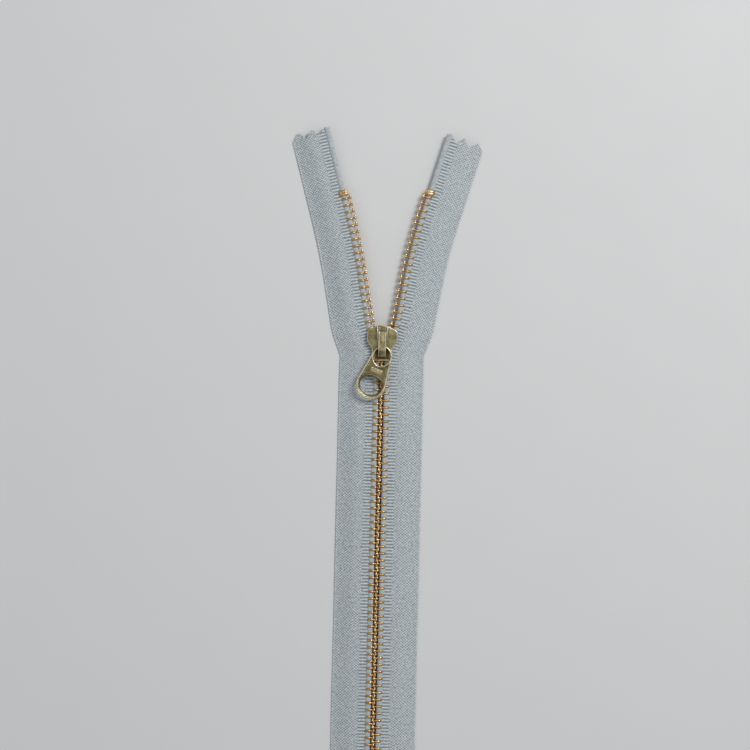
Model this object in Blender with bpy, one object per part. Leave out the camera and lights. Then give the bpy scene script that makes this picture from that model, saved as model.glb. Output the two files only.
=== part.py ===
"""A zipper with metal teeth, its slider a quarter of the way down, lying on its back.

Frame: X across the tapes, +Y along the chain towards its open end, +Z up out of the front face.
The origin is on the surface the zipper lies on, below the middle of its overall length. Every
length here is in millimetres and every angle in degrees, and meshes are written in metres. "Left"
is the -X side. While the shapes are made, Y is counted from the upper edge of the bottom stop, and
every piece is moved down by MIDDLE_Y as it is added. Along a stringer a place is given by its arc
length from that edge, and across it by its distance outwards from the middle of the bead cord.
"""
import math

import bmesh
import bpy
from mathutils import Vector

MM = 0.001
LEFT, RIGHT = -1, 1
SIDE_NAMES = {LEFT: "left", RIGHT: "right"}
MIDDLE_Y = 116.65             # the middle of the overall length, above the bottom stop
WORLD_ORIGIN = (0.0, MIDDLE_Y, 0.0)

# Chain
CHAIN_Z = 2.3                 # height of the middle plane of the teeth
TOOTH_PITCH = 2.48
TEETH_PER_SIDE = 93
OPEN_TEETH = 20               # teeth a side above the slider, each a node of its own
FIRST_TOOTH = {LEFT: 1.96, RIGHT: 1.96 + TOOTH_PITCH / 2}
TOOTH_HALF_HEIGHT = 1.25
TOOTH_HALF_THICKNESS = 0.42
LEG_END = -1.5                # a tooth's places across: inwards from the cord's middle
LEG_INNER = 0.84
HEAD_START = 1.2
HEAD_TIP = 2.04
LEG_CAVITY_HALF = 0.85
SLOT_HEIGHT = 0.8
HEAD_HALF_HEIGHT = 1.0
HEAD_HALF_THICKNESS = 0.5
NIB_TOP = 1.1
NIB_HALF_HEIGHT = 0.45

# Stringers: straight and closed below the slider, spread apart above it
CORD_X = 1.45
CORD_RADIUS = 0.8
BEND_AT = 171.0               # arc length, and Y, of the slider's tail
WEDGE_ANGLE = 20.0            # spread forced by the slider's wedge
OPEN_ANGLE = 10.0             # spread just above the slider
FLARE = {LEFT: 15.3, RIGHT: 16.8}   # spread at the open ends
WEFT_WINDOW = 8.0             # half the length over which the cloth averages the cord's bend
PATH_STEP = 0.25

# Tapes
TAPE_THICKNESS = 0.5
TAPE_INNER = 0.85
TAPE_OUTER = 13.55
TAPE_FLAT_TO = 6.0            # beyond this the cloth slopes to the surface
STITCH_LINE = 1.7             # inside this the stitching draws the cloth in
STITCH_SINK = 0.04
TAPE_EDGE_Z = 0.3
TAPE_END = {LEFT: BEND_AT + 85.0, RIGHT: BEND_AT + 83.6}
TAIL_END = -20.0
PINKING_DEPTH = 2.6
TAPE_FOLDS = ((STITCH_LINE, 1 / 3), (3.4, 1), (TAPE_FLAT_TO, 0), (8.5, 1), (11.0, 0), (TAPE_OUTER, 1))
# each fold: its place across the tape, and its share of the zigzag's depth
PIECE_GAP = 0.1

# Stops
STOP_INNER = 1.0
STOP_OUTER = -2.05
STOP_LENGTH = 2.3
STOP_HALF_HEIGHT = 1.3
STOP_CAVITY_HALF = 0.9
STOP_AT = {LEFT: BEND_AT + 61.2, RIGHT: BEND_AT + 62.2}
BOTTOM_STOP_LENGTH = 4.4
BOTTOM_STOP_HALF_WIDTH = 3.2
BOTTOM_STOP_WEB = 0.55

# Slider, with Y measured up from its tail
SLIDER_LENGTH = 12.85
PLATE_LOW = (0.0, 0.9)
PLATE_HIGH = (3.7, 4.5)
FLANGE_LOW = 1.75
FLANGE_HIGH = 2.85
JOIN = 0.05                   # how far fused shapes run into each other
LUG_INNER = 1.5
LUG_OUTER = 2.0
LUG_TOP = 6.2
CAP_HALF_WIDTH = 1.42
CAP_THICKNESS = 0.38
CAP_UNDERSIDE = 6.3
PIN_HOLE = (5.95, 6.85)       # along Y
PIN_HOLE_HALF_WIDTH = 0.55

# Pull
PULL_AXIS_Y = 5.1             # above the slider's tail
PULL_Z = (4.75, 5.75)
PULL_TILT = 20.4
EYE_CENTRE_Y = 1.43
EYE_HOLE = (3.0, 3.4)         # half widths across and along the pull
EYE_RIM = 0.65
GRIP_DISTANCE = 10.5
GRIP_RADIUS = 5.3
GRIP_HOLE_RADIUS = 3.95


def ramp(value, start, end):
    """0 before start, 1 after end, with a smooth step between them."""
    t = min(max((value - start) / (end - start), 0.0), 1.0)
    return t * t * (3.0 - 2.0 * t)


class Stringer:
    """One side's cord line, and places measured along it and across it."""

    def __init__(self, side):
        self.side = side
        self.points = [(CORD_X, BEND_AT)]
        for index in range(int(100 / PATH_STEP)):
            x, y = self.points[-1]
            angle = self.spread((index + 0.5) * PATH_STEP)
            self.points.append((x + math.sin(angle) * PATH_STEP, y + math.cos(angle) * PATH_STEP))

    def spread(self, above):
        """The cord's angle away from +Y, in radians, a distance above the slider's tail."""
        angle = WEDGE_ANGLE * ramp(above, 2, 6)
        angle -= (WEDGE_ANGLE - OPEN_ANGLE) * ramp(above, 11, 17)
        angle += (FLARE[self.side] - OPEN_ANGLE) * ramp(above, 25, 60)
        return math.radians(angle)

    def weft(self, above):
        """The angle of the cloth's cross threads, which even out the cord's bend."""
        steps = 32
        reach = [above + WEFT_WINDOW * (2 * i / steps - 1) for i in range(steps + 1)]
        return sum(self.spread(place) for place in reach) / len(reach)

    def line(self, arc):
        """(x, y) on the cord's middle, with x outwards from the centre line."""
        above = arc - BEND_AT
        if above <= 0:
            return CORD_X, arc
        index = min(int(above / PATH_STEP), len(self.points) - 2)
        (x0, y0), (x1, y1) = self.points[index], self.points[index + 1]
        t = above / PATH_STEP - index
        return x0 + (x1 - x0) * t, y0 + (y1 - y0) * t

    def at(self, arc, outwards, z, angle=None):
        """A point beside the cord, squared to it or to the given angle."""
        if angle is None:
            angle = self.spread(arc - BEND_AT)
        x, y = self.line(arc)
        x += math.cos(angle) * outwards
        y -= math.sin(angle) * outwards
        return Vector((self.side * x, y, z))

    def cloth(self, arc, outwards):
        """A point on the tape's middle surface."""
        slope = ramp(outwards, TAPE_FLAT_TO, TAPE_OUTER)
        z = CHAIN_Z + (TAPE_EDGE_Z - CHAIN_Z) * slope
        z -= STITCH_SINK * (1 - ramp(outwards, TAPE_INNER, STITCH_LINE))
        return self.at(arc, outwards, z, self.weft(arc - BEND_AT))


def material(name, colour, roughness, metallic):
    made = bpy.data.materials.new(name)
    made.use_nodes = True
    shader = made.node_tree.nodes["Principled BSDF"]
    shader.inputs["Base Color"].default_value = (*colour, 1.0)
    shader.inputs["Roughness"].default_value = roughness
    shader.inputs["Metallic"].default_value = metallic
    return made


def joint_frame(name, place, parent=None):
    """An empty on a joint's axis, with its place in millimetres from the bottom stop's edge."""
    empty = bpy.data.objects.new(name, None)
    empty.empty_display_size = 5 * MM
    empty["place"] = place
    start = parent["place"] if parent else WORLD_ORIGIN
    empty.location = (Vector(place) - Vector(start)) * MM
    empty.parent = parent
    bpy.context.collection.objects.link(empty)
    return empty


def add(name, mesh_data, finish, frame=None, helper=False):
    """An object from a bmesh in millimetres, or from a finished mesh, in a joint's frame."""
    origin = Vector(frame["place"] if frame else WORLD_ORIGIN)
    if isinstance(mesh_data, bmesh.types.BMesh):
        bmesh.ops.recalc_face_normals(mesh_data, faces=mesh_data.faces)
        for vertex in mesh_data.verts:
            vertex.co = (vertex.co - origin) * MM
        mesh = bpy.data.meshes.new(name)
        mesh_data.to_mesh(mesh)
        mesh_data.free()
    else:
        mesh = mesh_data
    piece = bpy.data.objects.new(name, mesh)
    if not mesh.materials:
        mesh.materials.append(finish)
    piece.parent = frame
    if helper:
        piece.hide_render = True
        piece.display_type = "WIRE"
    bpy.context.collection.objects.link(piece)
    return piece


def cut_or_fuse(piece, other, operation):
    step = piece.modifiers.new(f"{operation.lower()}_{other.name}", "BOOLEAN")
    step.operation = operation
    step.object = other


def prism(outline, low, high, bm=None):
    """An outline of (x, y) points raised from one height to another."""
    bm = bm or bmesh.new()
    bottom = [bm.verts.new((x, y, low)) for x, y in outline]
    top = [bm.verts.new((x, y, high)) for x, y in outline]
    bm.faces.new(list(reversed(bottom)))
    bm.faces.new(top)
    for i in range(len(outline)):
        j = (i + 1) % len(outline)
        bm.faces.new((bottom[i], bottom[j], top[j], top[i]))
    return bm


def loft(rings, bm=None):
    """A closed solid through rings of points that all have the same number of points."""
    bm = bm or bmesh.new()
    rows = [[bm.verts.new(point) for point in ring] for ring in rings]
    bm.faces.new(list(reversed(rows[0])))
    bm.faces.new(rows[-1])
    for lower, upper in zip(rows, rows[1:]):
        for i in range(len(lower)):
            j = (i + 1) % len(lower)
            bm.faces.new((lower[i], lower[j], upper[j], upper[i]))
    return bm


def spaced(start, end, step):
    """Places from start to end, no further apart than step."""
    count = max(1, math.ceil((end - start) / step))
    return [start + (end - start) * i / count for i in range(count + 1)]


def slab(grid, thickness=TAPE_THICKNESS):
    """A sheet of even thickness over a grid of points on its middle surface."""
    bm = bmesh.new()
    half = Vector((0, 0, thickness / 2))
    top = [[bm.verts.new(point + half) for point in row] for row in grid]
    low = [[bm.verts.new(point - half) for point in row] for row in grid]
    rows, columns = len(grid), len(grid[0])
    for r in range(rows - 1):
        for c in range(columns - 1):
            bm.faces.new((top[r][c], top[r][c + 1], top[r + 1][c + 1], top[r + 1][c]))
            bm.faces.new((low[r][c], low[r + 1][c], low[r + 1][c + 1], low[r][c + 1]))
        for c in (0, columns - 1):
            bm.faces.new((top[r][c], top[r + 1][c], low[r + 1][c], low[r][c]))
    for r in (0, rows - 1):
        for c in range(columns - 1):
            bm.faces.new((top[r][c], low[r][c], low[r][c + 1], top[r][c + 1]))
    return bm


def tape_grid(stringer, start, end, step, pinked_start=False, pinked_end=False, inner_edge=TAPE_INNER):
    columns = [inner_edge] + [u for u, _ in TAPE_FOLDS]
    cuts = [0.0] + [PINKING_DEPTH * share for _, share in TAPE_FOLDS]
    places = spaced(start, end, step)
    inner = places[1:-1]
    if pinked_end:
        inner = [place for place in inner if place < end - PINKING_DEPTH - 0.5]
    grid = []
    if pinked_start:
        grid.append([stringer.cloth(start + cut, u) for u, cut in zip(columns, cuts)])
    else:
        grid.append([stringer.cloth(start, u) for u in columns])
    grid += [[stringer.cloth(place, u) for u in columns] for place in inner]
    if pinked_end:
        grid.append([stringer.cloth(end - cut, u) for u, cut in zip(columns, cuts)])
    else:
        grid.append([stringer.cloth(end, u) for u in columns])
    return grid


def cord_rings(stringer, start, end, step):
    """Six-sided rings of the bead cord."""
    rings = []
    for place in spaced(start, end, step):
        ring = []
        for i in range(6):
            turn = math.radians(60 * i)
            z = CHAIN_Z + CORD_RADIUS * math.sin(turn)
            ring.append(stringer.at(place, CORD_RADIUS * math.cos(turn), z))
        rings.append(ring)
    return rings


def slot_grid(stringer, start, end, step):
    """Where the tape leaves the cord between the legs of the plain teeth."""
    return [[stringer.at(place, u, CHAIN_Z) for u in (CORD_RADIUS + 0.02, 1 - LEG_END)]
            for place in spaced(start, end, step)]


def tooth_places(side):
    return [FIRST_TOOTH[side] + TOOTH_PITCH * i for i in range(TEETH_PER_SIDE)]


def plain_teeth(stringer, places):
    """Blocks, one a tooth, to be fused to the cord that they are pressed onto."""
    bm = bmesh.new()
    for place in places:
        corners = []
        for along, inwards in ((-1, LEG_END), (-1, HEAD_TIP), (1, HEAD_TIP), (1, LEG_END)):
            angle = stringer.spread(place - BEND_AT)
            point = stringer.at(place, -inwards, 0.0)
            point.x += stringer.side * math.sin(angle) * along * TOOTH_HALF_THICKNESS
            point.y += math.cos(angle) * along * TOOTH_HALF_THICKNESS
            corners.append((point.x, point.y))
        prism(corners, CHAIN_Z - TOOTH_HALF_HEIGHT, CHAIN_Z + TOOTH_HALF_HEIGHT, bm)
    return bm


def tooth_mesh(side, finish):
    """An open tooth about its own origin: two legs, a bridge, a head and the nib on it."""
    def across(inwards, z):
        return -side * inwards, z

    legs = [(LEG_END, LEG_CAVITY_HALF), (LEG_END, TOOTH_HALF_HEIGHT), (0.9, TOOTH_HALF_HEIGHT),
            (HEAD_START, HEAD_HALF_HEIGHT)]
    half = legs + [(HEAD_START, 0.0)]
    lower = [(x, -z) for x, z in reversed(legs)]
    cavity = [(LEG_INNER, -LEG_CAVITY_HALF), (LEG_INNER, LEG_CAVITY_HALF)]
    section = [across(*point) for point in half[:-1] + lower + cavity]
    rings = [[(x, y, z) for x, z in section] for y in (-TOOTH_HALF_THICKNESS, TOOTH_HALF_THICKNESS)]
    own = joint_frame(f"{SIDE_NAMES[side]}_tooth_middle", (0.0, 0.0, 0.0))
    clamp = add(f"{SIDE_NAMES[side]}_tooth_pattern", loft(rings), finish, own, True)

    blocks = (
        (HEAD_START - JOIN, HEAD_TIP, HEAD_HALF_THICKNESS, HEAD_HALF_HEIGHT, -HEAD_HALF_THICKNESS),
        (HEAD_START + 0.25, HEAD_TIP - 0.1, NIB_TOP, NIB_HALF_HEIGHT, 0.0),
    )
    parts = []
    for start, end, top, half_height, bottom in blocks:
        outline = [(-side * start, bottom), (-side * end, bottom), (-side * end, top),
                   (-side * start, top)]
        name = f"{SIDE_NAMES[side]}_tooth_block_{len(parts)}"
        parts.append(add(name, prism(outline, -half_height, half_height), finish, own, True))
    for part in parts:
        cut_or_fuse(clamp, part, "UNION")
    bpy.context.view_layer.update()
    evaluated = clamp.evaluated_get(bpy.context.evaluated_depsgraph_get())
    mesh = bpy.data.meshes.new_from_object(evaluated)
    mesh.name = f"{SIDE_NAMES[side]}_open_tooth"
    for helper in [clamp, own] + parts:
        bpy.data.objects.remove(helper)
    return mesh


def top_stop(stringer, place):
    """A clamp round the cord, C-shaped across and square along."""
    section = [(STOP_OUTER, STOP_CAVITY_HALF), (STOP_OUTER, STOP_HALF_HEIGHT),
               (STOP_INNER + 0.15, STOP_HALF_HEIGHT), (STOP_INNER + 0.35, STOP_HALF_HEIGHT - 0.3)]
    lower = [(x, -z) for x, z in reversed(section)]
    cavity = [(STOP_INNER - 0.1, -STOP_CAVITY_HALF), (STOP_INNER - 0.1, STOP_CAVITY_HALF)]
    outline = section + lower + cavity
    rings = []
    for along in (-STOP_LENGTH / 2, STOP_LENGTH / 2):
        angle = stringer.spread(place - BEND_AT)
        ring = []
        for inwards, z in outline:
            point = stringer.at(place, -inwards, CHAIN_Z + z)
            point.x += stringer.side * math.sin(angle) * along
            point.y += math.cos(angle) * along
            ring.append(point)
        rings.append(ring)
    return loft(rings)


def bottom_stop():
    """An H-shaped clamp: plates above and below both cords, and a web between them."""
    top = STOP_HALF_HEIGHT
    inside = STOP_CAVITY_HALF
    web = BOTTOM_STOP_WEB
    wide = BOTTOM_STOP_HALF_WIDTH
    section = [(-wide, top), (wide, top), (wide, inside), (web, inside), (web, -inside),
               (wide, -inside), (wide, -top), (-wide, -top), (-wide, -inside), (-web, -inside),
               (-web, inside), (-wide, inside)]
    rings = [[(x, y, CHAIN_Z + z) for x, z in section] for y in (-BOTTOM_STOP_LENGTH, 0.0)]
    return loft(rings)


def mirrored(half):
    """A closed outline from the points of its +X half, given from the tail to the head."""
    return half + [(-x, y) for x, y in reversed(half) if x > 0]


def slider_place(outline):
    return [(x, y + BEND_AT) for x, y in outline]


def slider_body(finish, frame):
    plan = mirrored([(3.1, 0.0), (3.55, 0.45), (3.55, 4.4), (5.4, 6.9), (5.4, 10.0), (5.1, 10.75),
                     (4.55, 11.25), (3.7, 11.7), (2.7, 12.15), (1.9, 12.5), (0.95, 12.76), (0.0, SLIDER_LENGTH)])
    body = add("slider_body", prism(slider_place(plan), *PLATE_LOW), finish, frame)
    upper = add("slider_upper_plate", prism(slider_place(plan), *PLATE_HIGH), finish, frame, True)
    wedge = mirrored([(0.0, 7.2), (1.1, 10.6), (1.3, 12.1), (0.9, 12.55)])
    low, high = PLATE_LOW[1] - JOIN, PLATE_HIGH[0] + JOIN
    post = add("slider_wedge", prism(slider_place(wedge), low, high), finish, frame, True)
    cut_or_fuse(body, post, "UNION")
    cut_or_fuse(body, upper, "UNION")
    flange = [(3.1, 0.3), (3.55, 0.45), (3.55, 4.4), (5.4, 6.9), (5.4, 9.2), (4.95, 9.2),
              (4.95, 7.1), (3.1, 4.1)]
    for side in (LEFT, RIGHT):
        outline = slider_place([(side * x, y) for x, y in flange])
        for level, (start, end) in (("low", (low, FLANGE_LOW)), ("high", (FLANGE_HIGH, high))):
            name = f"slider_flange_{SIDE_NAMES[side]}_{level}"
            wall = add(name, prism(outline, start, end), finish, frame, True)
            cut_or_fuse(body, wall, "UNION")
        lug = [(side * x, y) for x, y in
               ((LUG_INNER, 7.5), (LUG_OUTER, 7.5), (LUG_OUTER, 12.2), (LUG_INNER, 12.2))]
        name = f"slider_lug_{SIDE_NAMES[side]}"
        lug_bm = prism(slider_place(lug), PLATE_HIGH[1] - JOIN, LUG_TOP)
        cut_or_fuse(body, add(name, lug_bm, finish, frame, True), "UNION")
    lip = mirrored([(LUG_OUTER, 12.1), (LUG_OUTER, 12.35), (0.95, 12.62), (0.0, 12.7)])
    lip_bm = prism(slider_place(lip), PLATE_HIGH[1] - JOIN, 5.5)
    cut_or_fuse(body, add("slider_lip", lip_bm, finish, frame, True), "UNION")
    hole = [(-PIN_HOLE_HALF_WIDTH, PIN_HOLE[0]), (PIN_HOLE_HALF_WIDTH, PIN_HOLE[0]),
            (PIN_HOLE_HALF_WIDTH, PIN_HOLE[1]), (-PIN_HOLE_HALF_WIDTH, PIN_HOLE[1])]
    hole_bm = prism(slider_place(hole), PLATE_HIGH[0] - 0.5, PLATE_HIGH[1] + 0.5)
    cut_or_fuse(body, add("slider_pin_hole", hole_bm, finish, frame, True), "DIFFERENCE")
    return body


def cap_section(y):
    """The heights of the cap's underside and upper side at a place along the slider."""
    hump = ramp(y, 2.7, 3.9) * (1.0 - ramp(y, 10.0, 12.0))
    under = 4.75 + (CAP_UNDERSIDE - 4.75) * hump
    return under, under + CAP_THICKNESS


def slider_cap():
    """An arched strip from between the lugs to just short of the slider's tail."""
    rings = []
    for y in spaced(2.86, 11.9, 0.7):
        under, over = cap_section(y)
        wide = CAP_HALF_WIDTH - 0.05 * (1.0 - ramp(y, 3.0, 9.0))
        soft = 0.22
        ring = [(-wide, under), (wide, under), (wide, over - soft), (wide - soft, over),
                (-wide + soft, over), (-wide, over - soft)]
        rings.append([(x, y + BEND_AT, z) for x, z in ring])
    return loft(rings)


def locking_pin():
    """A leaf between the lugs, bent down at its end into the pin that goes through the plate."""
    side_view = [(6.1, 3.62), (6.7, 3.62), (6.7, 4.9), (10.2, 4.9), (10.2, 5.2), (6.1, 5.2)]
    rings = [[(x, y + BEND_AT, z) for y, z in side_view] for x in (-0.42, 0.42)]
    return loft(rings)


def convex_outline(points):
    """The convex outline round a set of points, anticlockwise."""
    points = sorted(set(points))
    halves = []
    for ordered in (points, points[::-1]):
        hull = []
        for x, y in ordered:
            while len(hull) > 1:
                (ax, ay), (bx, by) = hull[-2], hull[-1]
                if (bx - ax) * (y - ay) - (by - ay) * (x - ax) > 1e-9:
                    break
                hull.pop()
            hull.append((x, y))
        halves.append(hull[:-1])
    return halves[0] + halves[1]


def pull_oval(distance, across, along, sides):
    """An oval in the pull's plane, its centre a distance down the pull from the eye's centre."""
    tilt = math.radians(PULL_TILT)
    down = (-math.sin(tilt), -math.cos(tilt))
    sideways = (math.cos(tilt), -math.sin(tilt))
    points = []
    for i in range(sides):
        turn = 2 * math.pi * i / sides
        u, v = across * math.cos(turn), along * math.sin(turn) + distance
        x = sideways[0] * u + down[0] * v
        y = sideways[1] * u + down[1] * v + EYE_CENTRE_Y + BEND_AT
        points.append((x, y))
    return points


def pull_tab(finish, frame):
    eye = pull_oval(0.0, EYE_HOLE[0] + EYE_RIM, EYE_HOLE[1] + EYE_RIM, 28)
    grip = pull_oval(GRIP_DISTANCE, GRIP_RADIUS, GRIP_RADIUS, 32)
    pull = add("pull_tab", prism(convex_outline(eye + grip), *PULL_Z), finish, frame)
    holes = (("eye", 0.0, *EYE_HOLE), ("grip", GRIP_DISTANCE, GRIP_HOLE_RADIUS, GRIP_HOLE_RADIUS))
    for name, distance, across, along in holes:
        cutter_bm = prism(pull_oval(distance, across, along, 24), PULL_Z[0] - 1, PULL_Z[1] + 1)
        cutter = add(f"pull_{name}_cutter", cutter_bm, finish, frame, True)
        cut_or_fuse(pull, cutter, "DIFFERENCE")
    return pull


def build_stringer(side, cloth, brass):
    stringer = Stringer(side)
    name = SIDE_NAMES[side]
    lower_frame = joint_frame(f"{name}_chain_open_axis", (side * CORD_X, 4.5, CHAIN_Z))
    upper_frame = joint_frame(f"{name}_half_straighten_axis", (side * CORD_X, BEND_AT, CHAIN_Z), lower_frame)

    tail_top = -PIECE_GAP / 2
    tail_rows = tape_grid(stringer, TAIL_END, tail_top, 200, pinked_start=True,
                          inner_edge=CORD_RADIUS - TAPE_THICKNESS)
    tail = add(f"{name}_tape_tail", slab(tail_rows), cloth)
    bead = loft(cord_rings(stringer, TAIL_END + PINKING_DEPTH, tail_top - 0.05, 200))
    cut_or_fuse(tail, add(f"{name}_tail_bead", bead, cloth, helper=True), "UNION")

    bend = BEND_AT
    lower_rows = tape_grid(stringer, PIECE_GAP / 2, bend - 12, 200)
    lower_rows += tape_grid(stringer, bend - 9, bend - PIECE_GAP / 2, 3)
    add(f"{name}_tape_lower", slab(lower_rows), cloth, lower_frame)
    upper_rows = tape_grid(stringer, bend + PIECE_GAP / 2, TAPE_END[side], 4, pinked_end=True)
    add(f"{name}_tape_upper", slab(upper_rows), cloth, upper_frame)

    places = tooth_places(side)
    closed = [place for place in places if place < bend]
    open_ones = places[-OPEN_TEETH:]
    hidden = [place for place in places if place > bend and place < open_ones[0] - 0.1]
    for label, start, end, step, fused, frame in (
        ("chain_lower", PIECE_GAP / 2, bend - PIECE_GAP / 2, 200, closed, lower_frame),
        ("cord_upper", bend + PIECE_GAP / 2, TAPE_END[side] - PINKING_DEPTH, 3, hidden, upper_frame),
    ):
        cord = add(f"{name}_{label}", loft(cord_rings(stringer, start, end, step)), cloth, frame)
        blocks = add(f"{name}_{label}_teeth", plain_teeth(stringer, fused), brass, frame, True)
        slot_bm = slab(slot_grid(stringer, start - 1, end + 1, step), SLOT_HEIGHT)
        cut_or_fuse(blocks, add(f"{name}_{label}_slot", slot_bm, brass, frame, True), "DIFFERENCE")
        cut_or_fuse(cord, blocks, "UNION")

    pattern = tooth_mesh(side, brass)
    for number, place in enumerate(open_ones, 1):
        tooth = add(f"{name}_tooth_{number:02d}", pattern, brass, upper_frame)
        tooth.location = (stringer.at(place, 0.0, CHAIN_Z) - Vector(upper_frame["place"])) * MM
        tooth.rotation_euler.z = -side * stringer.spread(place - bend)
    add(f"{name}_top_stop", top_stop(stringer, STOP_AT[side]), brass, upper_frame)


def main():
    for leftover in list(bpy.data.objects):
        bpy.data.objects.remove(leftover)
    cloth = material("tape_cloth", (0.42, 0.47, 0.50), 0.85, 0.0)
    brass = material("tooth_brass", (0.72, 0.48, 0.22), 0.3, 1.0)
    antique = material("slider_antique_brass", (0.38, 0.33, 0.17), 0.42, 1.0)

    for side in (LEFT, RIGHT):
        build_stringer(side, cloth, brass)
    add("bottom_stop", bottom_stop(), brass)

    slider_frame = joint_frame("slider_travel_axis", (0.0, BEND_AT, 0.0))
    slider_body(antique, slider_frame)
    add("slider_cap", slider_cap(), antique, slider_frame)
    pin_frame = joint_frame("pin_lift_axis", (0.0, BEND_AT + 6.4, PLATE_HIGH[1]), slider_frame)
    add("locking_pin", locking_pin(), antique, pin_frame)
    middle = (PULL_Z[0] + PULL_Z[1]) / 2
    pull_frame = joint_frame("pull_flip_axis", (0.0, BEND_AT + PULL_AXIS_Y, middle), slider_frame)
    pull_tab(antique, pull_frame)


main()
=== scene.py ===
import bpy, bmesh, math, random
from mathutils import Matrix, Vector


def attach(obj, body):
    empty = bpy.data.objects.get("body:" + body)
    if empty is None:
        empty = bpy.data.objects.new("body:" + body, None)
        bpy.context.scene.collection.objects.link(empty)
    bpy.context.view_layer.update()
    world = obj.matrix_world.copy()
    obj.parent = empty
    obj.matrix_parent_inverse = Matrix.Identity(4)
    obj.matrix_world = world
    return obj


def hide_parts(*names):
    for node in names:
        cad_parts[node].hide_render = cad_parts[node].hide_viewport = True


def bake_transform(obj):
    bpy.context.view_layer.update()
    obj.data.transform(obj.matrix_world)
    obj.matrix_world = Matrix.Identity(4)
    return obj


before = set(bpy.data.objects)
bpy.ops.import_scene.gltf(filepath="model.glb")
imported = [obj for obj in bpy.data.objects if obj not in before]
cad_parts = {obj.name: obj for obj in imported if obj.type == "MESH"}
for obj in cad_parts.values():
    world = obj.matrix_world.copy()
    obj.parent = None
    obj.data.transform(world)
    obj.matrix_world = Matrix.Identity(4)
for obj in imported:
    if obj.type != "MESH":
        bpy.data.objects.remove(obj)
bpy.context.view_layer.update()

# ---------------------------------------------------------------- sizes, in millimetres
MM = 0.001
LEFT, RIGHT = -1, 1
NAMES = {LEFT: "left", RIGHT: "right"}
MIDDLE_Y = 116.65             # places along the chain count from the bottom stop's upper edge
CHAIN_Z = 2.3
PITCH = 2.48
TEETH, OPEN_TEETH = 93, 20
FIRST_TOOTH = {LEFT: 1.96, RIGHT: 1.96 + PITCH / 2}
CORD_X, CORD_RADIUS = 1.45, 0.8
BEAD_MIDDLE, BEAD_HALF = 0.48, 1.02    # across the cord: the visible bead is an oval
BEAD_SIDES, BEAD_SHORT = 14, 0.4       # the bead stops short of the tape's cut end
BEND_AT, WEDGE_ANGLE, OPEN_ANGLE = 171.0, 20.0, 10.0
FLARE = {LEFT: 15.3, RIGHT: 16.8}
WEFT_WINDOW, PATH_STEP = 8.0, 0.25
TAPE_THICKNESS, TAPE_INNER, TAPE_OUTER, TAPE_FLAT_TO, TAPE_EDGE_Z = 0.5, 0.85, 13.55, 6.0, 0.3
STITCH_LINE, STITCH_SINK = 1.7, 0.04
CLOTH_INNER = 0.6                      # the cloth's inner edge, hidden under the bead
CLOTH_LOWEST = 0.02                    # keeps the underside off the floor
TAPE_END = {LEFT: 256.0, RIGHT: 254.6}
CUT_SPARE = 0.9                        # how far the cloth runs past the CAD's tape at the top
TAIL_END = -20.0
PINKING, PINKING_REACH = 2.6, 6.0      # depth of the zigzag, and the length that takes it up
FOLDS = (3.4, 6.0, 8.5, 11.0)          # places across the tape where the zigzag turns
TOP_STOP_AT = {LEFT: 232.2, RIGHT: 233.2}
RIB = 1.13                    # spacing of the crosswise ribs beside the cord
SEAM = 142 * RIB              # where a tape's two lengths meet, on the crest of a rib
SLIDER_Y = BEND_AT - MIDDLE_Y           # the slider's tail, on the world's Y axis
PULL_TILT = math.radians(20.4)


def ramp(value, start, end):
    t = min(max((value - start) / (end - start), 0.0), 1.0)
    return t * t * (3.0 - 2.0 * t)


class Stringer:
    """One side's cord line, the same as the CAD's, and places beside it."""

    def __init__(self, side):
        self.side = side
        self.points = [(CORD_X, BEND_AT)]
        for index in range(int(100 / PATH_STEP)):
            x, y = self.points[-1]
            angle = self.spread((index + 0.5) * PATH_STEP)
            self.points.append((x + math.sin(angle) * PATH_STEP, y + math.cos(angle) * PATH_STEP))
        self.wefts = {}

    def spread(self, above):
        angle = WEDGE_ANGLE * ramp(above, 2, 6)
        angle -= (WEDGE_ANGLE - OPEN_ANGLE) * ramp(above, 11, 17)
        angle += (FLARE[self.side] - OPEN_ANGLE) * ramp(above, 25, 60)
        return math.radians(angle)

    def weft(self, above):
        key = round(above, 3)
        if key not in self.wefts:
            steps = 32
            reach = [above + WEFT_WINDOW * (2 * i / steps - 1) for i in range(steps + 1)]
            self.wefts[key] = sum(self.spread(place) for place in reach) / len(reach)
        return self.wefts[key]

    def line(self, arc):
        above = arc - BEND_AT
        if above <= 0:
            return CORD_X, arc
        index = min(int(above / PATH_STEP), len(self.points) - 2)
        (x0, y0), (x1, y1) = self.points[index], self.points[index + 1]
        t = above / PATH_STEP - index
        return x0 + (x1 - x0) * t, y0 + (y1 - y0) * t

    def at(self, arc, outwards, z, along=0.0, angle=None):
        """A point beside the cord in metres, outwards from it and along it from a place."""
        if angle is None:
            angle = self.spread(arc - BEND_AT)
        x, y = self.line(arc)
        x += math.cos(angle) * outwards + math.sin(angle) * along
        y += math.cos(angle) * along - math.sin(angle) * outwards
        return Vector((self.side * x, y - MIDDLE_Y, z)) * MM

    def cloth(self, arc, outwards, raised=0.0):
        z = CHAIN_Z + (TAPE_EDGE_Z - CHAIN_Z) * ramp(outwards, TAPE_FLAT_TO, TAPE_OUTER)
        z -= STITCH_SINK * (1 - ramp(outwards, TAPE_INNER, STITCH_LINE))
        return self.at(arc, outwards, z + raised, angle=self.weft(arc - BEND_AT))


STRINGERS = {side: Stringer(side) for side in (LEFT, RIGHT)}


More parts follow.
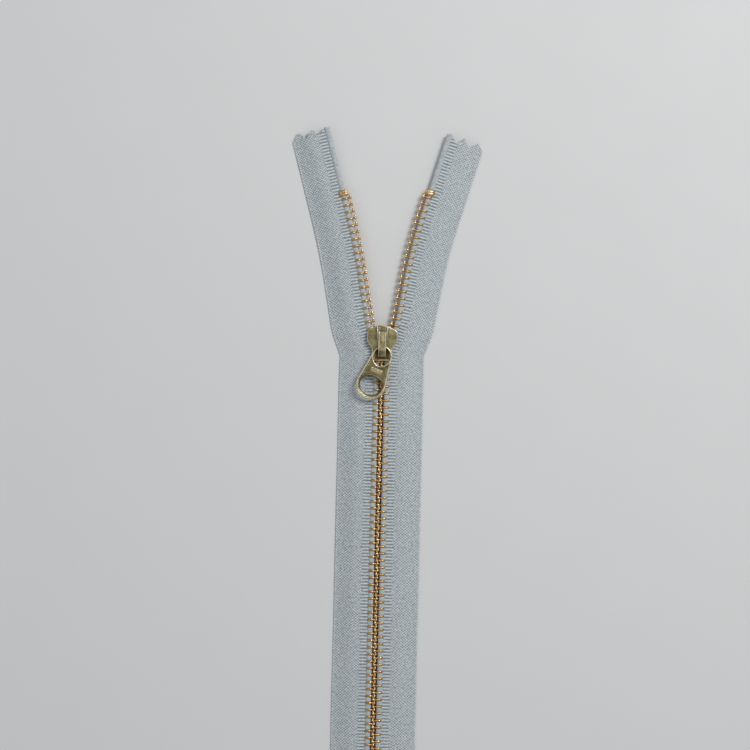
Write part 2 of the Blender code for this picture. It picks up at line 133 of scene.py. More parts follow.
# ---------------------------------------------------------------- materials
class Nodes:
    """A small helper for laying out a material's nodes."""

    def __init__(self, name, colour, roughness, metallic):
        self.material = bpy.data.materials.new(name)
        self.material.use_nodes = True
        self.tree = self.material.node_tree
        self.shader = self.tree.nodes["Principled BSDF"]
        self.shader.inputs["Base Color"].default_value = (*colour, 1.0)
        self.shader.inputs["Roughness"].default_value = roughness
        self.shader.inputs["Metallic"].default_value = metallic

    def new(self, kind, **settings):
        node = self.tree.nodes.new(kind)
        for key, value in settings.items():
            setattr(node, key, value)
        return node

    def feed(self, socket, value):
        if isinstance(value, bpy.types.NodeSocket):
            self.tree.links.new(value, socket)
        else:
            socket.default_value = value

    def math(self, operation, a, b=0.0):
        node = self.new("ShaderNodeMath", operation=operation)
        for socket, value in zip(node.inputs, (a, b)):
            self.feed(socket, value)
        return node.outputs[0]

    def noise(self, vector, scale, detail=3.0, rough=0.5):
        node = self.new("ShaderNodeTexNoise")
        self.feed(node.inputs["Vector"], vector)
        for key, value in (("Scale", scale), ("Detail", detail), ("Roughness", rough)):
            node.inputs[key].default_value = value
        return node.outputs["Fac"]

    def stretch(self, vector, scale):
        node = self.new("ShaderNodeMapping")
        self.feed(node.inputs["Vector"], vector)
        node.inputs["Scale"].default_value = scale
        return node.outputs[0]

    def fade(self, value, start, end, low, high):
        node = self.new("ShaderNodeMapRange", interpolation_type="SMOOTHSTEP")
        for socket, number in zip(node.inputs, (value, start, end, low, high)):
            self.feed(socket, number)
        return node.outputs[0]

    def mix(self, share, a, b):
        node = self.new("ShaderNodeMix", data_type="RGBA")
        self.feed(node.inputs[0], share)
        for socket, value in zip(node.inputs[6:8], (a, b)):
            self.feed(socket, value if isinstance(value, bpy.types.NodeSocket) else (*value, 1.0))
        return node.outputs[2]

    def place(self):
        """The point on the surface in metres, as modelled."""
        return self.new("ShaderNodeTexCoord").outputs["Object"]

    def bump(self, height, distance, strength=1.0):
        node = self.new("ShaderNodeBump")
        node.inputs["Distance"].default_value = distance
        node.inputs["Strength"].default_value = strength
        self.feed(node.inputs["Height"], height)
        self.feed(self.shader.inputs["Normal"], node.outputs[0])


def cloth_material(name, bead):
    """Pale grey polyester: ribs beside the cord, then a fine broken twill up to the selvedge, with painted
    shade in the grooves and dips.
    """
    n = Nodes(name, (0.4, 0.45, 0.48), 0.82, 0.0)
    uv = n.new("ShaderNodeUVMap", uv_map="weave").outputs[0]
    split = n.new("ShaderNodeSeparateXYZ")
    n.feed(split.inputs[0], uv)
    across, along = split.outputs[0], split.outputs[1]
    fuzz = n.noise(uv, 2.1, 4.0, 0.65)
    speck = n.noise(n.stretch(uv, (1.0, 0.8, 1.0)), 1.25, 2.0, 0.7)
    drift = n.noise(uv, 0.09, 2.0)
    wander = n.math("MULTIPLY", n.math("SUBTRACT", fuzz, 0.5), 0.35)
    if bead:
        turn = n.math("ADD", n.math("MULTIPLY", along, 1 / 0.42), n.math("MULTIPLY", across, 0.9))
        twist = n.math("ABSOLUTE", n.math("SINE", n.math("MULTIPLY", n.math("ADD", turn, wander), math.pi)))
        height = twist
        # the colour follows the twist's height: painted shade in its grooves, painted light on its ridges
        shade = n.math("ADD", 0.6, n.math("MULTIPLY", twist, 0.16))
    else:
        yarn = n.math("DIVIDE", across, 0.36)
        column = n.math("FLOOR", yarn)
        rounded = n.math("ABSOLUTE", n.math("SINE", n.math("MULTIPLY", yarn, math.pi)))
        turned = n.math("MULTIPLY", n.math("PINGPONG", column, 4.0), 0.25)
        pick = n.math("ADD", n.math("ADD", n.math("DIVIDE", along, 1.14), turned), wander)
        over = n.math("ABSOLUTE", n.math("SINE", n.math("MULTIPLY", pick, math.pi)))
        over = n.math("POWER", over, 0.6)
        twill = n.math("MULTIPLY", over, n.math("ADD", 0.55, n.math("MULTIPLY", rounded, 0.45)))
        # ribs: long pale floats across, with painted shade in the groove between each two
        rib = n.math("COSINE", n.math("MULTIPLY", n.math("ADD", n.math("DIVIDE", along, RIB),
                                                           n.math("MULTIPLY", wander, 0.5)), 2 * math.pi))
        rib = n.math("ADD", 0.5, n.math("MULTIPLY", rib, 0.5))
        ragged = n.math("ADD", across, n.math("MULTIPLY", n.math("SUBTRACT", speck, 0.5), 2.4))
        band = n.math("MULTIPLY", n.fade(across, 1.2, 1.6, 0.0, 1.0), n.fade(ragged, 3.7, 4.5, 1.0, 0.0))
        # the picks dip in staggered rows, with a dot of painted shade in each dip
        swept = n.math("MULTIPLY", n.math("SUBTRACT", speck, 0.5), 4.5)
        jolted = n.math("MULTIPLY", n.math("SUBTRACT", n.noise(uv, 0.75, 2.0, 0.6), 0.5), 5.0)
        side_step = n.math("SINE", n.math("ADD", n.math("MULTIPLY", across, 2 * math.pi / 1.08), swept))
        row_step = n.math("SINE", n.math("ADD", n.math("MULTIPLY", along, 2 * math.pi / (0.85 * RIB)), jolted))
        dot = n.fade(n.math("MULTIPLY", side_step, row_step), -0.75, 0.75, 0.0, 1.0)
        plain = n.math("SUBTRACT", n.math("MULTIPLY", twill, 0.7), n.math("MULTIPLY", dot, 0.9))
        outside = n.math("SUBTRACT", 1.0, band)
        height = n.math("ADD", n.math("MULTIPLY", n.math("ADD", plain, 0.3), outside),
                        n.math("MULTIPLY", rib, band))
        # the colour follows the weave's height: painted shade in the dips and between the ribs, painted light
        # on the raised floats
        woven = n.math("ADD", 0.88, n.math("SUBTRACT", n.math("MULTIPLY", twill, 0.1),
                                           n.math("MULTIPLY", dot, 0.56)))
        ribbed = n.math("ADD", 0.27, n.math("MULTIPLY", rib, 0.66))
        shade = n.math("ADD", n.math("MULTIPLY", woven, outside), n.math("MULTIPLY", ribbed, band))
        shade = n.math("ADD", shade, n.fade(across, 12.95, 13.2, 0.0, 0.1))
    shade = n.math("ADD", shade, n.math("MULTIPLY", n.math("SUBTRACT", speck, 0.5), 0.8))
    shade = n.math("ADD", shade, n.math("MULTIPLY", n.math("SUBTRACT", drift, 0.5), 0.1))
    colour = n.mix(shade, (0.055, 0.072, 0.085), (0.75, 0.81, 0.825))
    n.feed(n.shader.inputs["Base Color"], colour)
    n.feed(n.shader.inputs["Roughness"], n.math("ADD", 0.7, n.math("MULTIPLY", fuzz, 0.25)))
    n.shader.inputs["Sheen Weight"].default_value = 0.25
    n.shader.inputs["Sheen Roughness"].default_value = 0.4
    n.shader.inputs["Specular IOR Level"].default_value = 0.3
    n.bump(n.math("ADD", height, n.math("MULTIPLY", fuzz, 0.5)), 0.00009, 0.8)
    return n.material


def brass_material(name, colour, dark, roughness, brushed=None, pitted=0.5, painted_shade_colour=None):
    """Metal with drifting tarnish, small pits and, where asked, brushing along one axis."""
    n = Nodes(name, colour, roughness, 1.0)
    place = n.place()
    tarnish = n.fade(n.noise(place, 420.0, 5.0, 0.62), 0.36, 0.7, 0.0, 1.0)
    pits = n.fade(n.noise(place, 3600.0, 2.0), 0.33, 0.5, 1.0, 0.0)
    share = n.math("ADD", n.math("MULTIPLY", tarnish, 0.75), n.math("MULTIPLY", pits, pitted))
    height = n.math("SUBTRACT", n.noise(place, 1500.0, 4.0), n.math("MULTIPLY", pits, 0.6))
    rough = n.math("ADD", roughness, n.math("MULTIPLY", share, 0.16))
    if brushed:
        lines = n.noise(n.stretch(place, brushed), 1.0, 4.0, 0.7)
        share = n.math("ADD", share, n.math("MULTIPLY", n.math("SUBTRACT", lines, 0.5), 2.2))
        height = n.math("ADD", n.math("MULTIPLY", height, 0.3), lines)
    mixed = n.mix(share, colour, dark)
    # where asked, a vertex attribute mixes in painted light and shade: where it is low the given dark colour
    # paints shade, where it is high the full brass colour stands for painted light
    if painted_shade_colour:
        painted_light = n.new("ShaderNodeAttribute", attribute_name="painted_light").outputs["Fac"]
        mixed = n.mix(painted_light, painted_shade_colour, mixed)
    n.feed(n.shader.inputs["Base Color"], mixed)
    n.feed(n.shader.inputs["Roughness"], rough)
    n.bump(height, 0.00005, 0.5)
    return n.material


CLOTH = cloth_material("woven_tape", False)
BEAD = cloth_material("woven_bead", True)
# the teeth's dark colour is painted shade, laid on by their painted-light attribute
TOOTH_BRASS = brass_material("polished_tooth_brass", (0.92, 0.66, 0.34), (0.6, 0.34, 0.13), 0.22, pitted=0.25,
                             painted_shade_colour=(0.3, 0.145, 0.05))
STOP_BRASS = brass_material("polished_stop_brass", (0.84, 0.6, 0.32), (0.42, 0.26, 0.11), 0.22, pitted=0.3)
ANTIQUE = brass_material("antique_brass", (0.32, 0.28, 0.15), (0.13, 0.11, 0.05), 0.36)
ANTIQUE_PULL = brass_material("antique_brass_pull", (0.22, 0.185, 0.095), (0.085, 0.07, 0.03), 0.36)
# near-black brass: painted shade
PAINTED_SHADE_BRASS = brass_material("painted_shade_brass", (0.1, 0.07, 0.025), (0.035, 0.025, 0.01), 0.42)
RUBBED = brass_material("rubbed_edge_brass", (0.86, 0.76, 0.55), (0.5, 0.42, 0.26), 0.27, pitted=0.3)
BRUSHED = brass_material("brushed_cap_brass", (0.53, 0.46, 0.27), (0.15, 0.125, 0.06), 0.3,
                         brushed=(2600.0, 90.0, 500.0))
PULL_RING = brass_material("worn_grip_brass", (0.5, 0.43, 0.26), (0.16, 0.135, 0.065), 0.3)


# ---------------------------------------------------------------- mesh helpers
def piece(name, bm, materials, sharp=None):
    mesh = bpy.data.meshes.new(name)
    bmesh.ops.recalc_face_normals(bm, faces=bm.faces)
    bm.to_mesh(mesh)
    bm.free()
    for face in mesh.polygons:
        face.use_smooth = True
    if sharp is not None:
        mesh.set_sharp_from_angle(angle=math.radians(sharp))
    for material in materials:
        mesh.materials.append(material)
    made = bpy.data.objects.new(name, mesh)
    bpy.context.scene.collection.objects.link(made)
    return made


def skin(bm, rings, closed=False, material=0, shades=()):
    """Joins rings of points into a tube, capped at both ends unless it closes on itself."""
    # the shades are stored as a vertex attribute of painted light and shade
    layer = bm.verts.layers.float.get("painted_light")
    if shades and layer is None:
        layer = bm.verts.layers.float.new("painted_light")
    made = [[bm.verts.new(point) for point in ring] for ring in rings]
    if shades:
        for ring, shade in zip(made, shades):
            for vert in ring:
                vert[layer] = shade
    size = len(made[0])
    faces = []
    for r in range(len(made) if closed else len(made) - 1):
        low, high = made[r], made[(r + 1) % len(made)]
        for i in range(size):
            j = (i + 1) % size
            faces.append(bm.faces.new((low[i], low[j], high[j], high[i])))
    if not closed:
        faces += [bm.faces.new(made[0]), bm.faces.new(made[-1])]
    for face in faces:
        face.material_index = material
    return faces


def drawn_in(outline, distance):
    """A closed outline moved inwards by a distance, its corners kept square to their bisectors."""
    area = sum(a[0] * b[1] - b[0] * a[1] for a, b in zip(outline, outline[1:] + outline[:1]))
    way = 1.0 if area > 0 else -1.0
    made = []
    for i, (x, y) in enumerate(outline):
        back, ahead = outline[i - 1], outline[(i + 1) % len(outline)]
        first, second = Vector((x - back[0], y - back[1])), Vector((ahead[0] - x, ahead[1] - y))
        first.normalize(), second.normalize()
        normals = Vector((-first.y - second.y, first.x + second.x))
        scale = way * distance / max(0.35, 1.0 + first.dot(second))
        made.append((x + normals.x * scale, y + normals.y * scale))
    return made


def prism(outline, low, high, bm=None, bevel=0.0, segments=3, rubbed=1, bottom_too=True, face=0):
    """A plate from an outline of (x, y) in millimetres, its rims rounded and marked as rubbed."""
    bm = bm or bmesh.new()
    turns = [math.pi / 2 * k / segments for k in range(segments + 1)] if bevel else [math.pi / 2]
    upper = [(bevel * (1 - math.sin(t)), high - bevel * (1 - math.cos(t))) for t in reversed(turns)]
    lower = [(bevel * (1 - math.sin(t)), low + bevel * (1 - math.cos(t))) for t in turns]
    if not bottom_too:
        lower = [(0.0, low)]
    levels = lower + upper
    outlines = {inset: drawn_in(outline, inset) for inset, _ in levels}
    faces = skin(bm, [[Vector((x, y, z)) * MM for x, y in outlines[inset]] for inset, z in levels])
    size = len(outline)
    for step in range(len(levels) - 1):
        if bevel and (step >= len(lower) or step < len(lower) - 1):
            for wall in faces[step * size:(step + 1) * size]:
                wall.material_index = rubbed
    faces[-1].material_index = face
    return bm


def rounded(outline, radius, steps=4):
    """An outline with its corners turned into short arcs."""
    made = []
    count = len(outline)
    for i, (x, y) in enumerate(outline):
        here = Vector((x, y))
        back, ahead = Vector(outline[i - 1]) - here, Vector(outline[(i + 1) % count]) - here
        reach = min(radius, back.length * 0.45, ahead.length * 0.45)
        a, b = here + back.normalized() * reach, here + ahead.normalized() * reach
        for k in range(steps + 1):
            t = k / steps
            made.append(tuple(a * (1 - t) ** 2 + here * 2 * t * (1 - t) + b * t * t))
    return made


def mirrored(half):
    return half + [(-x, y) for x, y in reversed(half) if x > 0]


def on_slider(outline):
    return [(x, y + SLIDER_Y) for x, y in outline]


def sweep(bm, path, section, closed=True, material=0, taper=0):
    """A section of (sideways, z) carried along a flat path of (x, y), in millimetres."""
    rings = []
    count = len(path)
    for i, (x, y) in enumerate(path):
        before = path[i - 1] if closed or i else path[i]
        after = path[(i + 1) % count] if closed or i < count - 1 else path[i]
        run = Vector((after[0] - before[0], after[1] - before[1])).normalized()
        size = 1.0
        if taper and not closed:
            size = max(0.12, min(1.0, (min(i, count - 1 - i) + 0.3) / taper))
        rings.append([Vector((x + run.y * s * size, y - run.x * s * size, z)) * MM for s, z in section])
    return skin(bm, rings, closed=closed, material=material)


def oval(centre_z, half_width, half_height, sides=10, power=1.0):
    made = []
    for i in range(sides):
        turn = 2 * math.pi * i / sides
        c, s = math.cos(turn), math.sin(turn)
        made.append((half_width * math.copysign(abs(c) ** power, c),
                     centre_z + half_height * math.copysign(abs(s) ** power, s)))
    return made


# ---------------------------------------------------------------- tapes and their bead cords
def steps_between(start, end, step):
    count = max(1, round((end - start) / step))
    return [start + (end - start) * i / count for i in range(count + 1)]


def zigzag(outwards):
    """How far a pinked end is cut back at a place across the tape, as a share of its depth."""
    turns = (TAPE_INNER, *FOLDS, TAPE_OUTER)
    folds = [(place, float(index % 2)) for index, place in enumerate(turns)]
    for (a, low), (b, high) in zip(folds, folds[1:]):
        if outwards <= b:
            return low + (high - low) * max(0.0, outwards - a) / (b - a)
    return folds[-1][1]


def tape_columns():
    """Places across the tape for the mesh, with one at each turn of the zigzag."""
    first, second, third, fourth = FOLDS
    inner = steps_between(CLOTH_INNER, first, 0.2)
    middle = steps_between(first, second, 0.43) + steps_between(second, third, 0.62)[1:]
    outer = steps_between(third, fourth, 0.62)[1:] + steps_between(fourth, 12.9, 0.5)[1:]
    return inner + middle[1:] + outer + [13.05, 13.2, 13.35, 13.47, TAPE_OUTER]


def relief(arc, u):
    """The half thickness of the cloth: ribs beside the cord, a finer twill, a rolled selvedge."""
    half = TAPE_THICKNESS / 2
    band = ramp(u, 1.15, 1.7) * (1 - ramp(u, 3.4 + 0.5 * math.sin(arc * 2.3), 4.5))
    rib = 0.5 + 0.5 * math.cos(2 * math.pi * arc / RIB)
    half += band * 0.13 * (rib - 0.5)
    twill = math.sin(2 * math.pi * (arc / RIB + u / 1.9)) * ramp(u, 4.0, 5.0) * (1 - ramp(u, 12.4, 12.9))
    half += 0.018 * twill
    half -= 0.09 * ramp(u, 12.7, 12.95) * (1 - ramp(u, 12.95, 13.2))
    half -= 0.17 * ramp(u, 13.3, TAPE_OUTER)
    return half


def tape(side, start, end, name):
    stringer = STRINGERS[side]
    bm = bmesh.new()
    layer = bm.loops.layers.uv.new("weave")
    columns = tape_columns()
    rows = steps_between(start, end, RIB / 5)
    grids = ([], [])
    where = {}
    for arc0 in rows:
        lines = ([], [])
        for u in columns:
            arc = arc0
            cut = PINKING * zigzag(u)
            if start == TAIL_END and arc0 < start + PINKING_REACH:
                arc = arc0 + cut * (1 - (arc0 - start) / PINKING_REACH)
            if end != SEAM and arc0 > end - PINKING_REACH:
                arc = arc0 - cut * (1 - (end - arc0) / PINKING_REACH)
            scallop = 0.05 * math.sin(2 * math.pi * arc / 1.2) * ramp(u, 13.1, TAPE_OUTER)
            half = relief(arc, u)
            slack = 0.05 * math.sin(arc / 9.0 + side) * math.sin(u / 3.1) * ramp(u, 2, 6)
            for line, way in zip(lines, (1, -1)):
                height = slack + way * half
                vert = bm.verts.new(stringer.cloth(arc, u + scallop, height))
                vert.co.z = max(vert.co.z, CLOTH_LOWEST * MM)
                where[vert] = (u, arc)
                line.append(vert)
        for grid, line in zip(grids, lines):
            grid.append(line)
    top, low = grids
    for r in range(len(rows) - 1):
        for c in range(len(columns) - 1):
            bm.faces.new((top[r][c], top[r][c + 1], top[r + 1][c + 1], top[r + 1][c]))
            bm.faces.new((low[r][c], low[r + 1][c], low[r + 1][c + 1], low[r][c + 1]))
        for c in (0, len(columns) - 1):
            bm.faces.new((top[r][c], top[r + 1][c], low[r + 1][c], low[r][c]))
    for r in (0, len(rows) - 1):
        for c in range(len(columns) - 1):
            bm.faces.new((top[r][c], low[r][c], low[r][c + 1], top[r][c + 1]))
    for face in bm.faces:
        for loop in face.loops:
            loop[layer].uv = where[loop.vert]
    return piece(name, bm, [CLOTH], sharp=62)


def bead(side, start, end, name):
    """The woven cord that the teeth are pressed onto, fuller between the teeth than under them."""
    stringer = STRINGERS[side]
    bm = bmesh.new()
    layer = bm.loops.layers.uv.new("weave")
    full_turn = 2 * math.pi * CORD_RADIUS
    where, rings = {}, []
    for arc in steps_between(start, end, PITCH / 8):
        gap = 0.5 - 0.5 * math.cos(2 * math.pi * (arc - FIRST_TOOTH[side]) / PITCH)
        ring = []
        for i in range(BEAD_SIDES):
            turn = 2 * math.pi * i / BEAD_SIDES
            radius = CORD_RADIUS * (0.86 + 0.14 * gap)
            u = BEAD_MIDDLE + BEAD_HALF * (0.92 + 0.08 * gap) * math.cos(turn)
            z = radius * math.sin(turn)
            vert = bm.verts.new(stringer.at(arc, u, CHAIN_Z + z))
            where[vert] = (turn * CORD_RADIUS, arc)
            ring.append(vert)
        rings.append(ring)
    for low, high in zip(rings, rings[1:]):
        for i in range(BEAD_SIDES):
            j = (i + 1) % BEAD_SIDES
            face = bm.faces.new((low[i], low[j], high[j], high[i]))
            for loop in face.loops:
                u, v = where[loop.vert]
                closing = j == 0 and loop.vert in (low[0], high[0])
                loop[layer].uv = (full_turn if closing else u, v)
    for ring in (rings[0], rings[-1]):
        bm.faces.new(ring)
    return piece(name, bm, [BEAD], sharp=62)


# ---------------------------------------------------------------- teeth
# inwards from the cord's middle: (place, half thickness along the chain, half height, painted light: low
# values paint shade on the outer ends, high values paint a highlight at the neck and head)
TOOTH_FORM = ((-1.5, 0.2, 0.5, 0.4), (-1.46, 0.31, 0.66, 0.5), (-1.36, 0.385, 0.82, 0.7),
              (-1.15, 0.43, 1.0, 0.7), (-0.85, 0.45, 1.15, 0.5), (-0.45, 0.45, 1.235, 0.55),
              (0.0, 0.45, 1.25, 0.85), (0.3, 0.45, 1.22, 1.0),
              (0.5, 0.42, 1.12, 0.9), (0.66, 0.38, 1.0, 0.6), (0.85, 0.35, 0.92, 0.45), (1.1, 0.33, 0.9, 0.4),
              (1.28, 0.35, 0.93, 0.5), (1.42, 0.43, 0.97, 0.7), (1.56, 0.49, 1.0, 0.9), (1.82, 0.5, 1.0, 1.0),
              (1.95, 0.45, 0.95, 0.8), (2.02, 0.33, 0.82, 0.5), (2.04, 0.18, 0.6, 0.4))
TOOTH_SIDES = 16
NIB_FORM = ((0.25, 0.44, 0.5), (0.6, 0.43, 0.5), (0.85, 0.38, 0.45), (1.0, 0.29, 0.36), (1.08, 0.17, 0.22),
            (1.1, 0.06, 0.08))
NIB_AT, PAD_AT = 1.62, 1.72
PAD_FORM = ((-0.3, 0.3, 0.55), (-0.52, 0.28, 0.5), (-0.6, 0.2, 0.36), (-0.62, 0.08, 0.15))
# painted light and shade for the nib's and pad's rings
NIB_PAINTED_LIGHT, PAD_PAINTED_LIGHT = (0.3, 0.7, 1.0, 1.0, 1.0, 1.0), (0.4,) * 4


def tooth_shells():
    """Rings of (inwards, along, z) for a tooth's bar and head, its nib and the pad under it."""
    bar = []
    for place, thick, high, _ in TOOTH_FORM:
        bar.append([(place, a, z) for a, z in oval(0.0, thick * 1.08, high, TOOTH_SIDES, 0.72)])
    nib = []
    for along, wide, high in NIB_FORM:
        nib.append([(NIB_AT + w, along, z) for w, z in oval(0.0, wide, high, 12, 0.75)])
    pad = []
    for along, wide, high in PAD_FORM:
        pad.append([(PAD_AT + w, along, z) for w, z in oval(0.0, wide, high, 10, 0.75)])
    return (bar, [form[3] for form in TOOTH_FORM]), (nib, NIB_PAINTED_LIGHT), (pad, PAD_PAINTED_LIGHT)


SHELLS = tooth_shells()


def closed_teeth(side, places, name):
    stringer = STRINGERS[side]
    chance = random.Random(17 + side)
    bm = bmesh.new()
    for place in places:
        turn, lift = chance.uniform(-0.03, 0.03), chance.uniform(-0.03, 0.03)
        for shell, shades in SHELLS:
            skin(bm, [[stringer.at(place, -w, CHAIN_Z + z + lift * 0.5, along=a + turn * w)
                       for w, a, z in ring] for ring in shell], shades=shades)
    return piece(name, bm, [TOOTH_BRASS], sharp=60)


def open_tooth_mesh(side):
    bm = bmesh.new()
    for shell, shades in SHELLS:
        skin(bm, [[Vector((-side * w, a, z)) * MM for w, a, z in ring] for ring in shell], shades=shades)
    made = piece(f"{NAMES[side]}_tooth_pattern", bm, [TOOTH_BRASS], sharp=60)
    mesh = made.data
    bpy.data.objects.remove(made)
    mesh.name = f"{NAMES[side]}_open_tooth_detailed"
    return mesh


# ---------------------------------------------------------------- one side
def build_side(side):
    name, stringer = NAMES[side], STRINGERS[side]
    places = [FIRST_TOOTH[side] + PITCH * i for i in range(TEETH)]
    shut = places[:TEETH - OPEN_TEETH]
    spans = {"lower": (TAIL_END, SEAM), "upper": (SEAM, TAPE_END[side] + CUT_SPARE)}
    for part, (start, end) in spans.items():
        cloth = tape(side, start, end, f"{name}_tape_{part}_cloth")
        cord = bead(side, start + (BEAD_SHORT if part == "lower" else 0),
                    end - (BEAD_SHORT if part == "upper" else 0), f"{name}_bead_{part}")
        teeth = closed_teeth(side, [p for p in shut if start <= p < end], f"{name}_teeth_{part}")
        if part == "lower":
            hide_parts(f"{name}_tape_tail", f"{name}_tape_lower")
            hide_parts(f"{name}_chain_lower")
        else:
            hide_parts(f"{name}_tape_upper")
            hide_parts(f"{name}_cord_upper")
        for made in (cloth, cord, teeth):
            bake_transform(made)
    mesh = open_tooth_mesh(side)
    for number, place in enumerate(places[TEETH - OPEN_TEETH:], 1):
        tooth = bpy.data.objects.new(f"{name}_tooth_{number:02d}_detailed", mesh)
        bpy.context.scene.collection.objects.link(tooth)
        tooth.location = stringer.at(place, 0.0, CHAIN_Z)
        tooth.rotation_euler = (0.0, 0.0, -side * stringer.spread(place - BEND_AT))
        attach(tooth, f"{name}_upper")
        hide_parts(f"{name}_tooth_{number:02d}")


# ---------------------------------------------------------------- stops
def top_stop(side, place):
    """A folded clamp: rounded over the cord, flat-backed, with a faint crease along its middle."""
    stringer = STRINGERS[side]
    form = ((-1.12, 0.3), (-1.06, 0.75), (-0.9, 0.95), (-0.55, 1.0), (-0.12, 1.0), (0.0, 0.95), (0.12, 1.0),
            (0.55, 1.0), (0.9, 0.95), (1.06, 0.75), (1.12, 0.3))
    rings = []
    for along, size in form:
        ring = []
        for i in range(24):
            turn = 2 * math.pi * i / 24
            c, s = math.cos(turn), math.sin(turn)
            u = 0.37 + 1.66 * math.copysign(abs(c) ** 0.45, c) * (0.6 + 0.4 * size)
            z = 1.28 * math.copysign(abs(s) ** 0.45, s) * size
            z *= 1.0 - 0.3 * ramp(u, 1.0, 2.05)
            ring.append(stringer.at(place, u, CHAIN_Z + z, along=along))
        rings.append(ring)
    bm = bmesh.new()
    skin(bm, rings)
    made = piece(f"{NAMES[side]}_top_stop_clamp", bm, [STOP_BRASS], sharp=50)
    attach(made, f"{NAMES[side]}_upper")
    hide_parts(f"{NAMES[side]}_top_stop")


def bottom_stop():
    bm = bmesh.new()
    for side_z in (1, -1):
        low, high = sorted((CHAIN_Z + side_z * 0.85, CHAIN_Z + side_z * 1.28))
        outline = rounded([(-3.15, -4.3 - MIDDLE_Y), (3.15, -4.3 - MIDDLE_Y), (3.15, -0.1 - MIDDLE_Y),
                           (-3.15, -0.1 - MIDDLE_Y)], 0.9)
        prism(outline, low, high, bm, bevel=0.18, rubbed=0)
    web = [(-0.5, -4.2 - MIDDLE_Y), (0.5, -4.2 - MIDDLE_Y), (0.5, -0.2 - MIDDLE_Y), (-0.5, -0.2 - MIDDLE_Y)]
    prism(web, CHAIN_Z - 1.0, CHAIN_Z + 1.0, bm)
    for x in (-1.9, 1.9):      # two pressed dimples' rims
        ring = [(x + 0.62 * math.cos(t * math.pi / 8), -2.2 - MIDDLE_Y + 1.25 * math.sin(t * math.pi / 8))
                for t in range(16)]
        sweep(bm, ring, oval(CHAIN_Z + 1.24, 0.12, 0.06, 8))
    made = piece("bottom_stop_clamp", bm, [STOP_BRASS], sharp=40)
    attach(made, "bottom_end")
    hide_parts("bottom_stop")


# ---------------------------------------------------------------- slider
PLAN = [(3.1, 0.0), (3.55, 0.45), (3.55, 4.4), (5.4, 6.9), (5.4, 10.0), (5.1, 10.75), (4.55, 11.25),
        (3.7, 11.7), (2.7, 12.15), (1.9, 12.5), (0.95, 12.76), (0.0, 12.85)]
PLATE_LOW, PLATE_HIGH = (0.0, 0.9), (3.7, 4.5)
FLANGE_LOW, FLANGE_HIGH = (0.5, 1.75), (2.85, 4.1)
SUNK = 4.4                              # where shapes standing on the upper plate start
LUG_TOP = 6.18
CAP_FOOT, CAP_FOOT_Z, CAP_RISE = 1.35, 4.75, 1.57
CAP_PROFILE = [(-1.0, 0.0), (1.0, 0.0), (1.0, 0.78), (0.965, 0.95), (0.9, 1.0), (0.82, 0.95),
               (0.75, 0.86), (0.4, 0.9), (0.0, 0.91), (-0.4, 0.9), (-0.75, 0.86), (-0.82, 0.95),
               (-0.9, 1.0), (-0.965, 0.95), (-1.0, 0.78)]


def slider_body():
    bm = bmesh.new()
    plan = on_slider(rounded(mirrored(PLAN), 0.55, 3))
    prism(plan, *PLATE_LOW, bm, bevel=0.22)
    prism(plan, *PLATE_HIGH, bm, bevel=0.26, segments=4)
    wedge = on_slider(rounded(mirrored([(0.0, 7.2), (1.1, 10.6), (1.3, 12.1), (0.9, 12.55)]), 0.3))
    prism(wedge, 0.8, 3.8, bm)
    flange = [(3.1, 0.3), (3.55, 0.45), (3.55, 4.4), (5.4, 6.9), (5.4, 9.2), (4.95, 9.2), (4.95, 7.1),
              (3.1, 4.1)]
    for side in (LEFT, RIGHT):
        outline = on_slider(rounded([(side * x * 0.998, y) for x, y in flange], 0.2, 2))
        prism(outline, *FLANGE_LOW, bm, bevel=0.12, segments=2)
        prism(outline, *FLANGE_HIGH, bm, bevel=0.12, segments=2)
        # the lug flares towards the head, and its top is rubbed bright
        lug = [(1.5, 7.3), (1.76, 7.3), (1.8, 9.6), (2.0, 11.4), (2.1, 12.2), (1.62, 12.25), (1.52, 11.2),
               (1.5, 9.4)]
        lug = on_slider(rounded([(side * x, y) for x, y in lug], 0.15, 2))
        prism(lug, SUNK, LUG_TOP, bm, bevel=0.1, bottom_too=False, face=1)
    # a thin dark pad on the upper plate under the cap's foot and the pull's eye: painted shade standing in for
    # the shadow there
    painted_shade_pad = on_slider(rounded(mirrored([(2.5, 0.7), (2.5, 3.2), (1.9, 5.2), (0.0, 5.4)]), 0.3, 3))
    prism(painted_shade_pad, SUNK, 4.53, bm, bottom_too=False, face=2)
    lip = on_slider(rounded(mirrored([(2.0, 12.0), (2.0, 12.3), (0.95, 12.62), (0.0, 12.7)]), 0.2, 3))
    prism(lip, SUNK, 5.5, bm, bevel=0.2, bottom_too=False)
    made = piece("slider_body_detailed", bm, [ANTIQUE, RUBBED, PAINTED_SHADE_BRASS], sharp=50)
    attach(made, "slider")
    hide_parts("slider_body")


def slider_cap():
    """A brushed strip with two bright edges, arched from its foot by the tail up between the lugs."""
    bm = bmesh.new()
    rings = []
    for y in steps_between(CAP_FOOT, 11.9, 0.25):
        hump = ramp(y, CAP_FOOT, 3.9) * (1.0 - ramp(y, 10.0, 12.0))
        under = CAP_FOOT_Z + CAP_RISE * hump
        over = under + 0.68 - 0.37 * hump
        wide = 1.41 - 0.05 * (1.0 - ramp(y, 3.0, 9.0))
        if y < CAP_FOOT + 0.2:
            over -= 0.2
        rings.append([Vector((x * wide, y + SLIDER_Y, under + (over - under) * h)) * MM
                      for x, h in CAP_PROFILE])
    for face in skin(bm, rings):
        middle = face.calc_center_median() / MM
        if 0.8 < abs(middle.x) / 1.37 < 1.0 and len(face.verts) == 4:
            face.material_index = 1
    made = piece("slider_cap_detailed", bm, [BRUSHED, RUBBED], sharp=50)
    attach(made, "slider")
    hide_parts("slider_cap")


